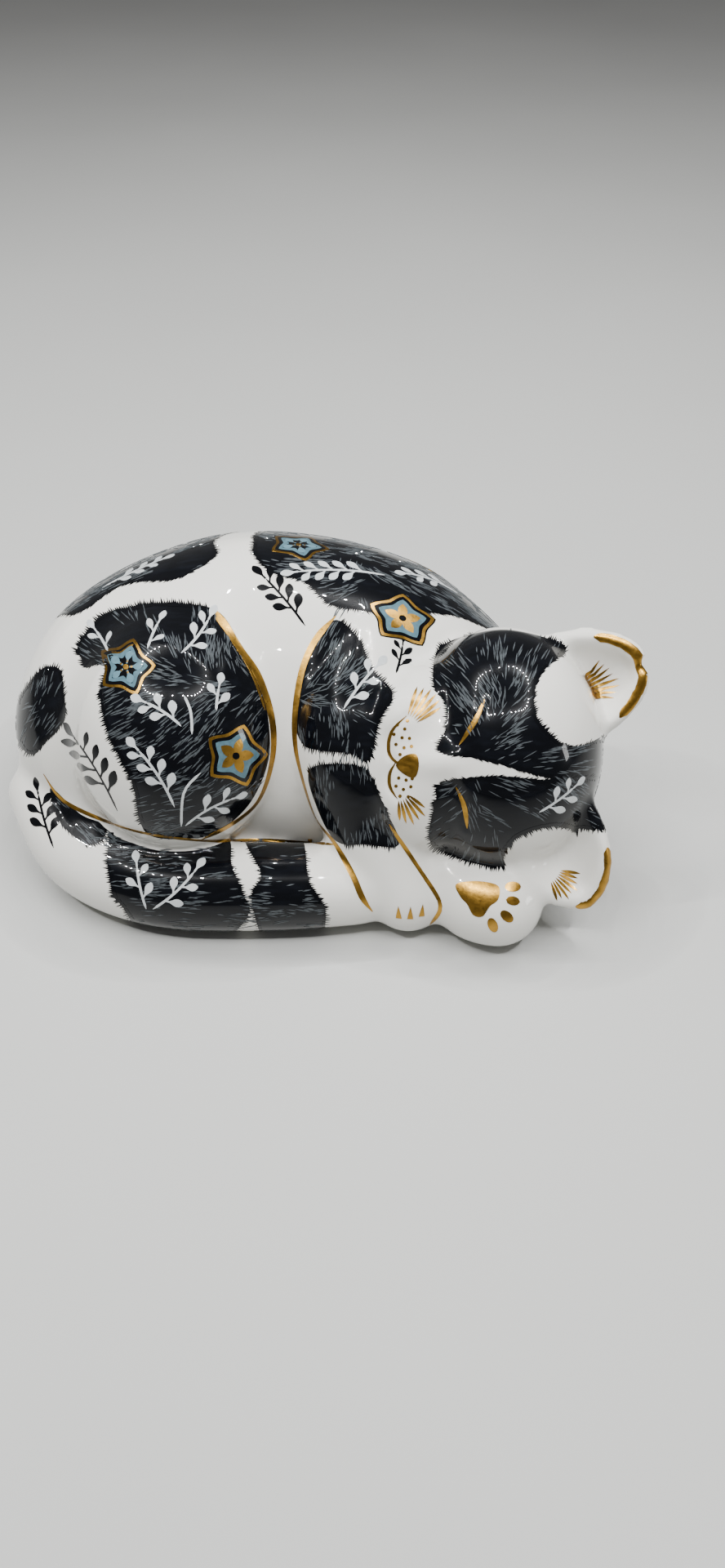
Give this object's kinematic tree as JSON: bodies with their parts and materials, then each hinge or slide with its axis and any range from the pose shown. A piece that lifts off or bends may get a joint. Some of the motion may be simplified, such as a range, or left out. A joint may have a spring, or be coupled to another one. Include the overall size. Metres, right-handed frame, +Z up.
{
  "type": "sleeping cat figurine",
  "caption": "Curled sleeping cat in glazed bone china, hollow cast, with a pull-out stopper in its flat base.",
  "frame": {"origin": "middle of the footprint's box, on the surface that the base rests on", "axes": "+X from the rump to the head, +Y from the paws to the back, +Z up"},
  "size_m": [0.0936, 0.0658, 0.0406],
  "materials": {
    "china_body": "gloss glaze",
    "china_limbs": "gloss glaze with printed fur",
    "china_head": "gloss glaze with printed fur",
    "bung_plastic": "soft satin",
    "disc_metal": "brushed"
  },
  "bodies": {
    "figurine": {"body_shell": "china_body", "head": "china_head", "upper_ear": "china_head", "lower_ear": "china_head", "hind_leg": "china_limbs", "foreleg": "china_limbs", "turned_foreleg": "china_body", "tail": "china_body"},
    "stopper": {"stopper_bung": "bung_plastic", "stopper_disc": "disc_metal"}
  },
  "joints": [
    {"name": "stopper_pull", "type": "slide", "parent": "figurine", "child": "stopper", "axis": [0, 0, -1], "range_m": [0, 0.014]}
  ]
}
